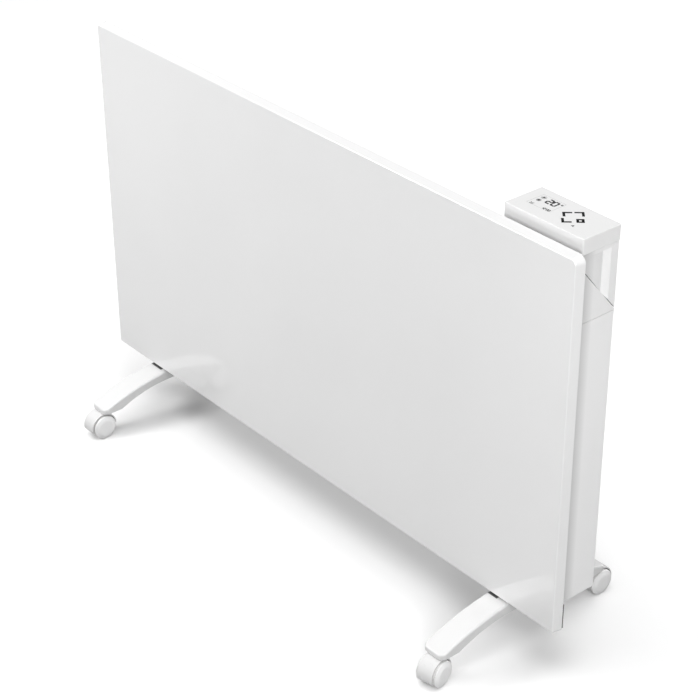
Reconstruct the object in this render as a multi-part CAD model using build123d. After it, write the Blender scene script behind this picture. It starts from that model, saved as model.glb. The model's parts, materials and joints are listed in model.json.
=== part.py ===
"""Panel convector heater on two castored feet.

Millimetres. X runs to the right seen from the front, Y to the rear, Z up from the floor.
The origin is on the floor, under the middle of the heater.
"""

from build123d import *
from math import cos, hypot, radians, sin, sqrt
import os

# Front panel, a pressed steel tray; the width and height are its face's
panel_width = 822.0
panel_height = 452.5
panel_return = 12.0
panel_flare = 2.2
panel_sheet = 1.0
panel_edge_radius = 1.2
panel_corner_radius = 7.0
panel_small_corner = 2.0
panel_above_floor = 68.8
panel_face_y = -32.0

# Casing behind the panel, a folded steel box open at the top
casing_side_inset = 10.4
casing_depth = 58.0
casing_above_floor = 92.0
casing_sheet = 0.8
casing_bend_radius = 1.6
casing_flange = 12.0
shadow_gap = 2.5
shield_sheet = 0.8
shield_inset = 4.0
hat_half_width = 14.0
hat_foot = 10.0
hat_length = 30.0
hat_side_inset = 70.0
hat_end_inset = 88.0

# Sloped air outlet over the casing
outlet_below_panel = 14.3
outlet_rise = 69.5
outlet_toe = 1.5
cheek_width = 12.0
cheek_wall = 2.0
tongue_height = 12.0
seam_gap = 0.5
slide_clearance = 0.2

# Louvre of the outlet
louvre_count = 8
louvre_thickness = 1.6
louvre_depth = 9.0
louvre_tilt = 18.0
louvre_rail_width = 6.0
louvre_rib = 2.0
louvre_rib_count = 10

# Air inlet slots
slot_width = 5.0
slot_pitch = 15.0
floor_slot_length = 36.0
wall_slot_height = 30.0
wall_slot_lift = 20.0
wall_slot_margin = 75.0
floor_slot_margin = 30.0

# Control unit
cap_width = 109.8
cap_height = 17.5
cap_drop = 4.8
cap_proud = 0.6
cap_wall = 2.0
cap_corner_radius = 1.5
cap_edge_radius = 0.8
cap_front_gap = 8.0
cap_ledge = 1.9
cap_ledge_height = 3.0
neck_wall = 2.0
neck_corner_radius = 1.0
neck_seam_height = 0.6
neck_seam_depth = 0.8
neck_slope_gap = 1.0
neck_land_inset = 1.5
grip_depth = 4.0
grip_length = 36.0
grip_rear_flank = 7.7
grip_rear_inset = 10.8
grip_drop = 4.6

# Electronics
board_thickness = 1.6
control_board_drop = 8.0
board_margin = 5.0
boss_radius = 2.5
display_width = 34.0
display_depth = 26.0
display_side_inset = 29.6
display_front_inset = 28.5
key_pad_radius = 4.0
key_pad_pitch = 13.5
key_display_gap = 5.5
key_front_inset = 27.0
chip_side = 10.0
chip_height = 1.5
plug_side = 12.0
plug_height = 5.0
power_board_height = 27.0
power_board_inset = 30.0
board_guide = 1.5
guide_drop = 2.0
part_height = 15.0
relay_width = 20.0
relay_depth = 10.0
transformer_width = 22.0
transformer_depth = 12.0
capacitor_radius = 5.0
capacitor_length = 11.0

# Rocker switch in the back of the control unit
switch_side_inset = 38.6
switch_drop = 16.5
bezel_width = 15.0
bezel_height = 21.0
bezel_thickness = 1.5
switch_body_width = 12.8
switch_body_height = 19.0
switch_body_depth = 12.0
rocker_width = 10.0
rocker_reach = 8.2
rocker_tilt = 8.0
rocker_clearance = 0.4
rocker_face_angle = 44.0
rocker_shoulder_angle = 76.0
rocker_hollow = 1.3
trunnion_radius = 1.2
trunnion_length = 0.9
pivot_behind_face = 2.5

# Heating element
element_side_gap = 80.0
element_lift = 86.0
element_tube_radius = 5.0
element_fin_reach = 26.0
element_fin_thickness = 2.0
element_barb = 7.0
element_end_gap = 12.0
bush_radius = 9.0
bush_length = 14.0
bush_seat = 2.0
bracket_sheet = 1.2
bracket_width = 60.0
bracket_flange = 16.0
bracket_lip = 6.0
bush_clearance = 0.1

# Sensors
cutout_x = 120.0
cutout_lift = 54.0
cutout_plate = 32.0
cutout_disc_radius = 8.0
cutout_disc_depth = 10.0
cutout_cup_radius = 6.5
cutout_cup_depth = 4.0
cutout_tab_length = 6.0
cutout_tab_width = 6.0
tilt_switch_lift = 208.0
tilt_switch_side = 22.0
tilt_switch_depth = 12.0
tilt_lid = 2.0
tilt_pin = 4.0
sensor_inset = 20.0
sensor_clip = 8.0
sensor_radius = 2.0
sensor_length = 14.0

# Feet
foot_inset = 75.6
foot_width = 32.0
foot_thickness = 13.0
foot_gap = 0.8
foot_crest_half = 5.0
foot_flat_half = 25.0
foot_tip_y = 128.0
foot_tip_height = 5.5
foot_end_radius = 8.0
foot_end_flat = 26.0
foot_wall = 2.4
foot_edge_radius = 2.4
foot_rib = 1.6
foot_rib_places = (66.0, 92.0)
foot_spine_start = 55.0
pedestal_depth = 42.0
pedestal_plate = 3.0
socket_radius = 6.0

# Casters
caster_inset = 13.0
caster_trail = 12.0
wheel_radius = 16.0
wheel_inner_x = 4.8
wheel_rim_x = 13.6
wheel_dome = 1.8
wheel_flat_radius = 8.5
wheel_edge_radius = 2.2
wheel_bore_depth = 6.0
wheel_recess = 4.0
wheel_hub_radius = 4.5
wheel_rim = 3.2
axle_radius = 1.5
running_clearance = 0.05
hood_gap = 1.3
hood_wall = 1.6
hood_half_width = 10.2
hood_front_drop = 5.0
hood_back_rise = 2.0
hood_edge_radius = 0.6
web_half_width = 4.2
hub_radius = 5.0
stem_radius = 3.0
stem_boss_radius = 5.5
stem_boss_lift = 2.0
stem_depth = 12.0
stem_grip = 7.0
stem_end_gap = 0.5
stem_collar_radius = 5.0
stem_collar_height = 0.9
swivel_gap = 0.2
front_right_swivel = 12.0
rear_left_swivel = 12.0

# How far a cut runs past the faces it opens
cut_over = 1.0

# Fixings and small pieces
screw_radius = 1.5
screw_head_radius = 3.2
screw_head_height = 1.8
screw_head_edge = 0.8
screw_reach = 5.0
screw_clearance = 0.1
foot_screw_radius = 2.5
foot_screw_head = 4.5
foot_screw_head_height = 3.0
foot_screw_reach = 8.0
foot_screw_spread = 26.0
wall_hole_radius = 4.5
wall_hole_spacing_x = 500.0
wall_hole_spacing_z = 150.0
wall_hole_drop = 32.5
gland_radius = 7.0
gland_bore = 3.6
gland_side_inset = 28.6
gland_lift = 58.0
gland_flange = 10.0
gland_flange_thickness = 2.0
gland_edge_radius = 0.8
gland_reach = 5.0
gland_lip = 1.2
gland_thread = 8.0
gland_nut = 4.0
guard_width = 2.4
guard_depth = 1.5
guard_inset = 0.1
guard_overlap = 10.0
harness_radius = 1.8
harness_hole_gap = 1.5
harness_side_inset = 25.0
harness_slack = 5.0

# Places worked out from the sizes above
rim_back_y = panel_face_y + panel_return
panel_inside_y = panel_face_y + panel_sheet
casing_front_y = rim_back_y + shadow_gap
casing_rear_y = casing_front_y + casing_depth
casing_inside_y = casing_rear_y - casing_sheet
casing_floor = casing_above_floor + casing_sheet
casing_side = panel_width / 2 - casing_side_inset
casing_middle_y = (casing_front_y + casing_rear_y) / 2
room_middle_y = (casing_front_y + casing_inside_y) / 2
panel_top = panel_above_floor + panel_height
slope_top = panel_top - outlet_below_panel
casing_top = slope_top - outlet_rise
rim_side = panel_width / 2 + panel_flare
rim_bottom = panel_above_floor - panel_flare
cap_front_y = rim_back_y + cap_front_gap
cap_rear_y = casing_rear_y + cap_proud
cap_right = casing_side + cap_proud
cap_left = cap_right - cap_width
cap_bottom = panel_top - cap_drop
cap_top = cap_bottom + cap_height
neck_left = cap_left + cap_proud
neck_right = cap_right - cap_proud
neck_front_y = cap_front_y + cap_proud
neck_rear_y = cap_rear_y - cap_proud
grip_rear_y = neck_rear_y - grip_rear_inset
grip_front_y = grip_rear_y - grip_length
grip_valley_y = grip_rear_y - grip_rear_flank
switch_x = cap_left + switch_side_inset
switch_z = cap_bottom - switch_drop
pivot_y = neck_rear_y + bezel_thickness - pivot_behind_face
element_z = casing_above_floor + element_lift
element_length = 2 * (casing_side - element_side_gap)
bracket_x = element_length / 2 + element_end_gap
gland_x = casing_side - gland_side_inset
gland_z = casing_above_floor + gland_lift
wall_hole_centre_z = casing_top - wall_hole_drop - wall_hole_spacing_z / 2
foot_x = casing_side - foot_inset
foot_top = rim_bottom - foot_gap
caster_y = foot_tip_y - caster_inset
axle_z = wheel_radius
hood_inner = wheel_radius + hood_gap
hood_outer = hood_inner + hood_wall
collar_bottom = axle_z + hood_outer + swivel_gap
foot_end_z = collar_bottom + stem_collar_height
foot_screw_floor = casing_above_floor - pedestal_plate
neck_room_left = neck_left + neck_wall
neck_room_right = neck_right - grip_depth - neck_wall
power_board_y = neck_rear_y - power_board_inset
harness_x = casing_side - harness_side_inset
harness_y = power_board_y + board_thickness + harness_radius + seam_gap
control_board_top = cap_top - cap_wall - control_board_drop + board_thickness
display_centre_x = cap_left + display_side_inset
display_centre_y = cap_front_y + display_front_inset
key_edge_x = display_centre_x + display_width / 2 + key_display_gap
key_centre_x = key_edge_x + key_pad_radius + key_pad_pitch
key_centre_y = cap_front_y + key_front_inset


def block(x0, x1, y0, y1, z0, z1):
    """A box between two corners."""
    size = Box(x1 - x0, y1 - y0, z1 - z0, align=(Align.MIN, Align.MIN, Align.MIN))
    return Pos(x0, y0, z0) * size


def side_profile(points, x0, x1):
    """A closed outline of (y, z) points, drawn out along X."""
    face = make_face(Polyline(*points, close=True))
    return extrude(Plane.YZ.offset(x0) * face, amount=x1 - x0)


def rod_x(radius, x0, x1, y, z):
    """A round rod along X."""
    rod = Cylinder(radius, x1 - x0, rotation=(0, 90, 0))
    return Pos((x0 + x1) / 2, y, z) * rod


def rod_y(radius, y0, y1, x, z):
    """A round rod along Y."""
    rod = Cylinder(radius, y1 - y0, rotation=(90, 0, 0))
    return Pos(x, (y0 + y1) / 2, z) * rod


def rod_z(radius, z0, z1, x, y):
    """A round rod along Z."""
    return Pos(x, y, (z0 + z1) / 2) * Cylinder(radius, z1 - z0)


def slope_z(y, lift=0.0):
    """Height of the outlet slope at a depth, raised square to it by lift."""
    run = casing_rear_y - casing_front_y
    rise = outlet_rise - outlet_toe
    return slope_top - (y - casing_front_y) * rise / run + lift * hypot(run, rise) / run


def tray_outline(y, inset):
    """The tray's outline at a depth, moved in by inset, as it flares towards the rear."""
    spread = panel_flare * (y - panel_face_y) / panel_return - inset
    outline = Rectangle(panel_width + 2 * spread, panel_height + 2 * spread)
    corners = outline.vertices().sort_by(lambda corner: corner.X + corner.Y)
    outline = fillet(corners[-1], panel_corner_radius + spread)
    half = panel_width / 2 + spread
    bottom = -panel_height / 2 - spread
    small = [v for v in outline.vertices() if abs(abs(v.X) - half) < 0.01]
    small = [v for v in small if v.X < 0 or abs(v.Y - bottom) < 0.01]
    outline = fillet(small, panel_small_corner + spread)
    middle = panel_above_floor + panel_height / 2
    return Plane(origin=(0, y, middle), x_dir=(1, 0, 0), z_dir=(0, -1, 0)) * outline


def front_panel():
    """Glossy steel tray, its rim turned back and slightly flared all round."""
    outer = loft([tray_outline(rim_back_y, 0), tray_outline(panel_face_y, 0)], ruled=True)
    face = outer.faces().sort_by(Axis.Y)[0]
    outer = fillet(face.edges(), panel_edge_radius)
    ends = [tray_outline(y, panel_sheet) for y in (rim_back_y + cut_over, panel_inside_y)]
    return outer - loft(ends, ruled=True)


def rim_guards():
    """Two dark rubber edge guards behind the lower ends of the rim."""
    top = casing_above_floor + guard_overlap
    bottom = rim_bottom + panel_small_corner + panel_flare
    x1 = rim_side - guard_inset
    x0 = x1 - guard_width
    right = block(x0, x1, rim_back_y, rim_back_y + guard_depth, bottom, top)
    left = block(-x1, -x0, rim_back_y, rim_back_y + guard_depth, bottom, top)
    return [left, right]


def panel_brackets():
    """Six hat brackets that carry the panel on the shield."""
    front = panel_inside_y
    back = casing_front_y - shield_sheet
    half = hat_half_width
    inner = half - bracket_sheet
    outline = [
        (-half - hat_foot, front),
        (-inner, front),
        (-inner, back - bracket_sheet),
        (inner, back - bracket_sheet),
        (inner, front),
        (half + hat_foot, front),
        (half + hat_foot, front + bracket_sheet),
        (half, front + bracket_sheet),
        (half, back),
        (-half, back),
        (-half, front + bracket_sheet),
        (-half - hat_foot, front + bracket_sheet),
    ]
    hat = extrude(make_face(Polyline(*outline, close=True)), amount=hat_length)
    reach = casing_side - hat_side_inset
    levels = (panel_above_floor + hat_end_inset, panel_top - hat_end_inset)
    return [Pos(x, 0, z) * hat for x in (-reach, 0, reach) for z in levels]


def wall_hole_places():
    """The four holes for a wall bracket, as (x, z)."""
    places = []
    for side in (-1, 1):
        for level in (-1, 1):
            x = side * wall_hole_spacing_x / 2
            places.append((x, wall_hole_centre_z + level * wall_hole_spacing_z / 2))
    return places


def slot_places(limit):
    """Evenly spaced slot centres along X, out to a limit on each side."""
    count = int(2 * limit / slot_pitch) + 1
    first = -(count - 1) * slot_pitch / 2
    return [first + n * slot_pitch for n in range(count)]


def near_foot(x, width):
    """Whether a slot at x would run into a foot's seat."""
    return abs(abs(x) - foot_x) < foot_width / 2 + width


def foot_screw_places():
    """The screws of both feet, as (x, y)."""
    places = []
    for x in (-foot_x, foot_x):
        for side in (-1, 1):
            places.append((x, casing_middle_y + side * foot_screw_spread / 2))
    return places


def bracket_screw_places():
    """The screws of both element brackets in the back wall, as (x, z)."""
    places = []
    for side in (-1, 1):
        x = side * (bracket_x + bracket_flange / 2)
        for level in (-1, 1):
            places.append((x, element_z + level * bracket_width / 3))
    return places


def rear_casing():
    """Folded steel box with inlet slots below and behind, open at the top."""
    shell = block(-casing_side, casing_side, casing_front_y, casing_rear_y, casing_above_floor, casing_top)
    corners = shell.edges().filter_by(Axis.Z).sort_by(Axis.Y)[-2:]
    shell = fillet(corners, casing_bend_radius)
    inner_x = casing_side - casing_sheet
    front = casing_front_y + casing_sheet
    room = block(-inner_x, inner_x, front, casing_inside_y, casing_floor, casing_top + cut_over)
    corners = room.edges().filter_by(Axis.Z).sort_by(Axis.Y)[-2:]
    room = fillet(corners, casing_bend_radius - casing_sheet)
    window_x = casing_side - casing_flange
    window = block(
        -window_x,
        window_x,
        casing_front_y - cut_over,
        front + cut_over,
        casing_above_floor + casing_flange,
        casing_top + cut_over,
    )
    cuts = [room, window]
    for x in slot_places(casing_side - floor_slot_margin):
        if not near_foot(x, slot_width):
            cuts.append(
                block(
                    x - slot_width / 2,
                    x + slot_width / 2,
                    casing_middle_y - floor_slot_length / 2,
                    casing_middle_y + floor_slot_length / 2,
                    casing_above_floor - cut_over,
                    casing_floor + cut_over,
                )
            )
    wall_slot_z = casing_above_floor + wall_slot_lift
    for x in slot_places(casing_side - wall_slot_margin):
        cuts.append(
            block(
                x - slot_width / 2,
                x + slot_width / 2,
                casing_inside_y - cut_over,
                casing_rear_y + cut_over,
                wall_slot_z,
                wall_slot_z + wall_slot_height,
            )
        )
    for x, z in wall_hole_places():
        cuts.append(rod_y(wall_hole_radius, casing_inside_y - cut_over, casing_rear_y + cut_over, x, z))
    for x, z in bracket_screw_places():
        hole = screw_radius + screw_clearance
        cuts.append(rod_y(hole, casing_inside_y - cut_over, casing_rear_y + cut_over, x, z))
    for x, y in foot_screw_places():
        hole = foot_screw_radius + screw_clearance
        cuts.append(rod_z(hole, casing_above_floor - cut_over, casing_floor + cut_over, x, y))
    start = casing_inside_y - cut_over
    cuts.append(rod_y(gland_radius, start, casing_rear_y + cut_over, gland_x, gland_z))
    return shell - cuts


def front_shield():
    """Flat sheet that closes the front of the casing behind the panel."""
    edge = casing_side - shield_inset
    bottom = casing_above_floor + shield_inset
    top = slope_top - seam_gap
    return block(-edge, edge, casing_front_y - shield_sheet, casing_front_y, bottom, top)


def slope_outline(drop):
    """Side outline of the outlet, (y, z), moved in by drop from its outer faces."""
    front = casing_front_y + drop
    rear = casing_rear_y - drop
    bottom = casing_top + seam_gap
    return [
        (front, bottom),
        (rear, bottom),
        (rear, slope_z(rear, -drop)),
        (front, slope_z(front, -drop)),
    ]


def outlet_cheek(x0, x1, outer_side):
    """Moulded wedge that closes one end of the outlet, with a tongue in the casing."""
    outer = side_profile(slope_outline(0.0), x0, x1)
    room = side_profile(slope_outline(cheek_wall), x0 + cheek_wall, x1 - cheek_wall)
    skirt = block(
        x0 + cheek_wall,
        x1 - cheek_wall,
        casing_front_y + cheek_wall,
        casing_rear_y - 4 * cheek_wall,
        casing_top,
        casing_top + seam_gap + cut_over,
    )
    body = outer - [room, skirt]
    gap = casing_sheet + slide_clearance
    if outer_side > 0:
        tongue_x1 = x1 - gap
        tongue_x0 = tongue_x1 - cheek_wall
    else:
        tongue_x0 = x0 + gap
        tongue_x1 = tongue_x0 + cheek_wall
    tongue = block(
        tongue_x0,
        tongue_x1,
        casing_front_y + 3 * cheek_wall,
        casing_rear_y - 4 * cheek_wall,
        casing_top - tongue_height,
        casing_top + seam_gap + cheek_wall,
    )
    return body + tongue


def harness_hole(z0, z1):
    """The hole that the wires pass through between the control unit and the casing."""
    return rod_z(harness_radius + harness_hole_gap, z0, z1, harness_x, harness_y)


def outlet_cheek_left():
    """The plain cheek at the left end."""
    return outlet_cheek(-casing_side, -casing_side + cheek_width, -1)


def control_base():
    """The wide cheek at the right end, with a raised land that carries the control unit."""
    base = outlet_cheek(cap_left, casing_side, 1)
    front = neck_front_y + neck_land_inset
    rear = neck_rear_y - neck_land_inset
    outline = [
        (front, slope_z(front, -cheek_wall / 2)),
        (rear, slope_z(rear, -cheek_wall / 2)),
        (rear, slope_z(rear, neck_slope_gap)),
        (front, slope_z(front, neck_slope_gap)),
    ]
    land_right = neck_room_right + neck_wall / 2
    land = side_profile(outline, neck_left + neck_land_inset, land_right)
    return base + land - harness_hole(casing_top - cut_over, slope_top + cut_over)


def outlet_louvre():
    """Louvre on the slope: blades along the heater, two rails and cross ribs."""
    x0 = -casing_side + cheek_width + seam_gap
    x1 = cap_left - seam_gap
    run = casing_rear_y - casing_front_y
    rise = outlet_rise - outlet_toe
    length = hypot(run, rise)
    along_y = run / length
    along_z = -rise / length
    tilt = radians(louvre_tilt)
    pieces = []
    for end in (0, 1):
        start = end * (length - louvre_rail_width)
        y = casing_front_y + start * along_y
        z = slope_top + start * along_z
        step_y = louvre_rail_width * along_y
        step_z = louvre_rail_width * along_z
        deep_y = louvre_depth * along_z
        deep_z = -louvre_depth * along_y
        outline = [(y, z), (y + step_y, z + step_z)]
        if end == 0:
            outline += [(y + step_y, z + step_z - louvre_depth), (y, z - louvre_depth)]
        else:
            outline += [
                (y + step_y, casing_top + seam_gap),
                (y + step_y + deep_y, casing_top + seam_gap),
                (y + deep_y, z + deep_z),
            ]
        pieces.append(side_profile(outline, x0, x1))
    pitch = (length - 2 * louvre_rail_width) / (louvre_count + 1)
    for n in range(louvre_count):
        along = louvre_rail_width + (n + 1) * pitch
        y = casing_front_y + along * along_y
        z = slope_top + along * along_z
        dy = -louvre_depth * cos(tilt)
        dz = -louvre_depth * sin(tilt)
        ny = louvre_thickness * along_y
        nz = louvre_thickness * along_z
        outline = [(y, z), (y + ny, z + nz), (y + ny + dy, z + nz + dz), (y + dy, z + dz)]
        pieces.append(side_profile(outline, x0, x1))
    rib_outline = [
        (casing_front_y + louvre_thickness, slope_z(casing_front_y + louvre_thickness, -louvre_thickness)),
        (casing_front_y + louvre_thickness, slope_z(casing_front_y + louvre_thickness) - 2 * louvre_depth),
        (casing_rear_y - louvre_depth, slope_z(casing_rear_y - louvre_depth) - louvre_depth),
        (casing_rear_y - louvre_thickness, slope_z(casing_rear_y - louvre_thickness, -louvre_thickness)),
    ]
    spacing = (x1 - x0 - louvre_rib) / (louvre_rib_count - 1)
    for n in range(louvre_rib_count):
        x = x0 + n * spacing
        pieces.append(side_profile(rib_outline, x, x + louvre_rib))
    return pieces[0] + pieces[1:]


def under_slope(lift):
    """All that lies below the slope raised by lift, over the width of the neck."""
    y0 = casing_front_y - outlet_rise
    y1 = casing_rear_y + outlet_rise
    outline = [(y0, slope_z(y0, lift)), (y1, slope_z(y1, lift)), (y1, 0), (y0, 0)]
    return side_profile(outline, neck_left - cut_over, neck_right + cut_over)


def board_guides():
    """Four upright ribs that hold the power board by its ends."""
    front = power_board_y - slide_clearance - board_guide
    rear = power_board_y + board_thickness + slide_clearance
    top = cap_bottom - guide_drop
    ribs = []
    for y in (front, rear):
        for x0 in (neck_room_left - neck_wall / 2, neck_room_right - board_guide):
            x1 = x0 + neck_wall / 2 + board_guide
            ribs.append(block(x0, x1, y, y + board_guide, casing_top, top))
    return ribs


def grip_cut():
    """What the finger grip takes out of the neck's side: a long bowed flank and a short one."""
    middle = (grip_front_y + grip_valley_y) / 2
    bow = arc_drop(middle, grip_front_y, grip_valley_y, grip_depth)
    edges = [
        ThreePointArc(
            (neck_right, grip_front_y),
            (neck_right - bow, middle),
            (neck_right - grip_depth, grip_valley_y),
        ),
        Line((neck_right - grip_depth, grip_valley_y), (neck_right, grip_rear_y)),
        Line((neck_right, grip_rear_y), (neck_right + cut_over, grip_rear_y)),
        Line((neck_right + cut_over, grip_rear_y), (neck_right + cut_over, grip_front_y)),
        Line((neck_right + cut_over, grip_front_y), (neck_right, grip_front_y)),
    ]
    start = Plane.XY.offset(casing_top)
    return extrude(start * make_face(edges), amount=cap_bottom - grip_drop - casing_top)


def neck_lip():
    """The neck's narrower top edge, which leaves a shadow seam under the cap."""
    inset = neck_seam_depth
    bottom = cap_bottom - neck_seam_height
    return block(
        neck_left + inset,
        neck_right - inset,
        neck_front_y + inset,
        neck_rear_y - inset,
        bottom,
        cap_bottom,
    )


def control_neck():
    """Hollow housing under the cap, cut to the slope, with a finger grip in its side."""
    bottom = casing_top
    shoulder = cap_bottom - neck_seam_height
    outer = block(neck_left, neck_right, neck_front_y, neck_rear_y, bottom, shoulder)
    outer = fillet(outer.edges().filter_by(Axis.Z), neck_corner_radius) + neck_lip()
    inner = block(
        neck_room_left,
        neck_room_right,
        neck_front_y + neck_wall,
        neck_rear_y - neck_wall,
        bottom,
        cap_bottom + cut_over,
    )
    inner = inner - under_slope(neck_slope_gap + neck_wall)
    switch_hole = block(
        switch_x - switch_body_width / 2 - slide_clearance,
        switch_x + switch_body_width / 2 + slide_clearance,
        neck_rear_y - neck_wall - cut_over,
        neck_rear_y + cut_over,
        switch_z - switch_body_height / 2 - slide_clearance,
        switch_z + switch_body_height / 2 + slide_clearance,
    )
    shell = outer - [inner, grip_cut(), switch_hole, harness_hole(bottom, cap_bottom)]
    return shell + board_guides() - under_slope(neck_slope_gap)


def control_cap():
    """Lid of the control unit, with a ledge that sits on the neck and bosses for its board."""
    outer = block(cap_left, cap_right, cap_front_y, cap_rear_y, cap_bottom, cap_top)
    outer = fillet(outer.edges().filter_by(Axis.Z), cap_corner_radius)
    top_face = outer.faces().sort_by(Axis.Z)[-1]
    outer = fillet(top_face.edges(), cap_edge_radius)
    inner = block(
        cap_left + cap_wall,
        cap_right - cap_wall,
        cap_front_y + cap_wall,
        cap_rear_y - cap_wall,
        cap_bottom - cut_over,
        cap_top - cap_wall,
    )
    sill = cap_wall + cap_ledge
    ledge = block(
        cap_left + cap_wall / 2,
        cap_right - cap_wall / 2,
        cap_front_y + cap_wall / 2,
        cap_rear_y - cap_wall / 2,
        cap_bottom,
        cap_bottom + cap_ledge_height,
    )
    opening = block(
        cap_left + sill,
        cap_right - sill,
        cap_front_y + sill,
        cap_rear_y - sill,
        cap_bottom - cut_over,
        cap_top,
    )
    bosses = []
    for x, y in boss_places():
        bosses.append(rod_z(boss_radius, control_board_top, cap_top - cap_wall / 2, x, y))
    return outer - inner + (ledge - opening) + bosses


def boss_places():
    """Centres of the four board bosses under the cap."""
    inset = cap_wall + board_margin
    places = []
    for x in (cap_left + inset, cap_right - inset):
        for y in (cap_front_y + inset, cap_rear_y - inset):
            places.append((x, y))
    return places


def control_board():
    """Printed board under the cap."""
    gap = cap_wall + cap_ledge + slide_clearance
    bottom = control_board_top - board_thickness
    board = block(
        cap_left + gap, cap_right - gap, cap_front_y + gap, cap_rear_y - gap, bottom, control_board_top
    )
    chip_x = display_centre_x + display_width / 2
    y = display_centre_y - chip_side / 2
    chip = block(chip_x, chip_x + chip_side, y, y + chip_side, bottom - chip_height, bottom)
    plug_x = cap_right - gap - board_margin - plug_side
    plug = block(plug_x, plug_x + plug_side, y, y + plug_side, bottom - plug_height, bottom)
    return board + [chip, plug]


def display_module():
    """Liquid crystal display that stands on the board, against the cap."""
    return block(
        display_centre_x - display_width / 2,
        display_centre_x + display_width / 2,
        display_centre_y - display_depth / 2,
        display_centre_y + display_depth / 2,
        control_board_top,
        cap_top - cap_wall,
    )


def touch_pads():
    """Four sprung touch pads between the board and the cap."""
    pads = []
    for dx, dy in ((-1, 0), (1, 0), (0, -1), (0, 1)):
        x = key_centre_x + dx * key_pad_pitch
        y = key_centre_y + dy * key_pad_pitch
        pads.append(rod_z(key_pad_radius, control_board_top, cap_top - cap_wall, x, y))
    return pads


def power_board():
    """Upright board in the neck with its relay, transformer and capacitor."""
    y0 = power_board_y
    x0 = neck_room_left + slide_clearance
    x1 = neck_room_right - slide_clearance
    top = cap_bottom - guide_drop
    board = block(x0, x1, y0, y0 + board_thickness, top - power_board_height, top)
    part_top = top - guide_drop
    part_bottom = part_top - part_height
    relay_x = x0 + board_margin + board_guide
    relay = block(relay_x, relay_x + relay_width, y0 - relay_depth, y0, part_bottom, part_top)
    coil_x = relay_x + relay_width + board_margin
    coil = block(coil_x, coil_x + transformer_width, y0 - transformer_depth, y0, part_bottom, part_top)
    can_x = coil_x + transformer_width + board_margin + capacitor_radius
    can = rod_y(capacitor_radius, y0 - capacitor_length, y0, can_x, part_top - part_height / 2)
    return board + [relay, coil, can]


def rocker_outline(reach):
    """Side outline of the rocker about its pivot, (y, z), facing the rear."""
    half = reach * sin(radians(rocker_face_angle))
    face = reach * cos(radians(rocker_face_angle))
    shoulder = reach * sin(radians(rocker_shoulder_angle))
    shoulder_y = reach * cos(radians(rocker_shoulder_angle))
    return [
        (-shoulder_y, -half),
        (-shoulder_y, half),
        (shoulder_y, shoulder),
        (face, half),
        (face - rocker_hollow, 0),
        (face, -half),
        (shoulder_y, -shoulder),
    ]


def switch_housing():
    """Bezel and body of the rocker switch."""
    bezel = block(
        switch_x - bezel_width / 2,
        switch_x + bezel_width / 2,
        neck_rear_y,
        neck_rear_y + bezel_thickness,
        switch_z - bezel_height / 2,
        switch_z + bezel_height / 2,
    )
    body = block(
        switch_x - switch_body_width / 2,
        switch_x + switch_body_width / 2,
        neck_rear_y - switch_body_depth,
        neck_rear_y + bezel_thickness / 2,
        switch_z - switch_body_height / 2,
        switch_z + switch_body_height / 2,
    )
    half = rocker_width / 2 + rocker_clearance
    room = rod_x(rocker_reach + rocker_clearance, switch_x - half, switch_x + half, pivot_y, switch_z)
    pin = half + trunnion_length
    sockets = rod_x(trunnion_radius + running_clearance, switch_x - pin, switch_x + pin, pivot_y, switch_z)
    return bezel + body - [room, sockets]


def switch_rocker():
    """Rocker on two short trunnions, at rest tipped to its off side."""
    profile = make_face(Polyline(*rocker_outline(rocker_reach), close=True))
    half = rocker_width / 2
    rocker = extrude(Plane.YZ.offset(-half) * profile, amount=rocker_width)
    pin = half + rocker_clearance + trunnion_length - slide_clearance
    rocker = rocker + rod_x(trunnion_radius, -pin, pin, 0, 0)
    return Pos(switch_x, pivot_y, switch_z) * (Rot(-rocker_tilt, 0, 0) * rocker)


def heating_element():
    """Finned aluminium element, an X in section with barbs on each fin."""
    tube = rod_x(element_tube_radius, -bracket_x - bush_length, bracket_x + bush_length, 0, 0)
    half = element_length / 2
    fins = []
    for n in range(4):
        fin = block(
            -half, half, 0, element_fin_reach, -element_fin_thickness / 2, element_fin_thickness / 2
        )
        barbs = []
        for step in (0.5, 0.75, 1.0):
            y = element_fin_reach * step - element_fin_thickness
            reach = element_barb * step
            barbs.append(block(-half, half, y, y + element_fin_thickness / 1.5, -reach, reach))
        fins.append(Rot(45 + 90 * n, 0, 0) * (fin + barbs))
    return Pos(0, room_middle_y, element_z) * (tube + fins)


def element_bush():
    """Right-hand ceramic bush: a collar inside the bracket and a neck through it."""
    start = bracket_x - element_end_gap / 2
    neck_end = bracket_x + bush_length - bush_seat
    neck = rod_x(bush_radius - bush_seat, start, neck_end, room_middle_y, element_z)
    collar = rod_x(bush_radius, start, bracket_x, room_middle_y, element_z)
    bore_radius = element_tube_radius + bush_clearance
    bore = rod_x(bore_radius, start - cut_over, neck_end + cut_over, room_middle_y, element_z)
    return neck + collar - bore


def element_bushes():
    """Ceramic bushes that hold the ends of the element's tube."""
    right = element_bush()
    return [mirror(right, Plane.YZ), right]


def element_bracket():
    """Right-hand folded bracket from the back wall to the element."""
    front = room_middle_y - bush_radius - bracket_lip
    z0 = element_z - bracket_width / 2
    z1 = element_z + bracket_width / 2
    plate = block(bracket_x, bracket_x + bracket_sheet, front, casing_inside_y, z0, z1)
    flange = block(
        bracket_x, bracket_x + bracket_flange, casing_inside_y - bracket_sheet, casing_inside_y, z0, z1
    )
    hole_radius = bush_radius - bush_seat + bush_clearance
    hole_start = bracket_x - cut_over
    hole_end = bracket_x + bracket_sheet + cut_over
    cuts = [rod_x(hole_radius, hole_start, hole_end, room_middle_y, element_z)]
    for x, z in bracket_screw_places():
        hole = screw_radius + screw_clearance
        cuts.append(rod_y(hole, casing_inside_y - screw_reach, casing_inside_y + cut_over, x, z))
    return plate + flange - cuts


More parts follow.
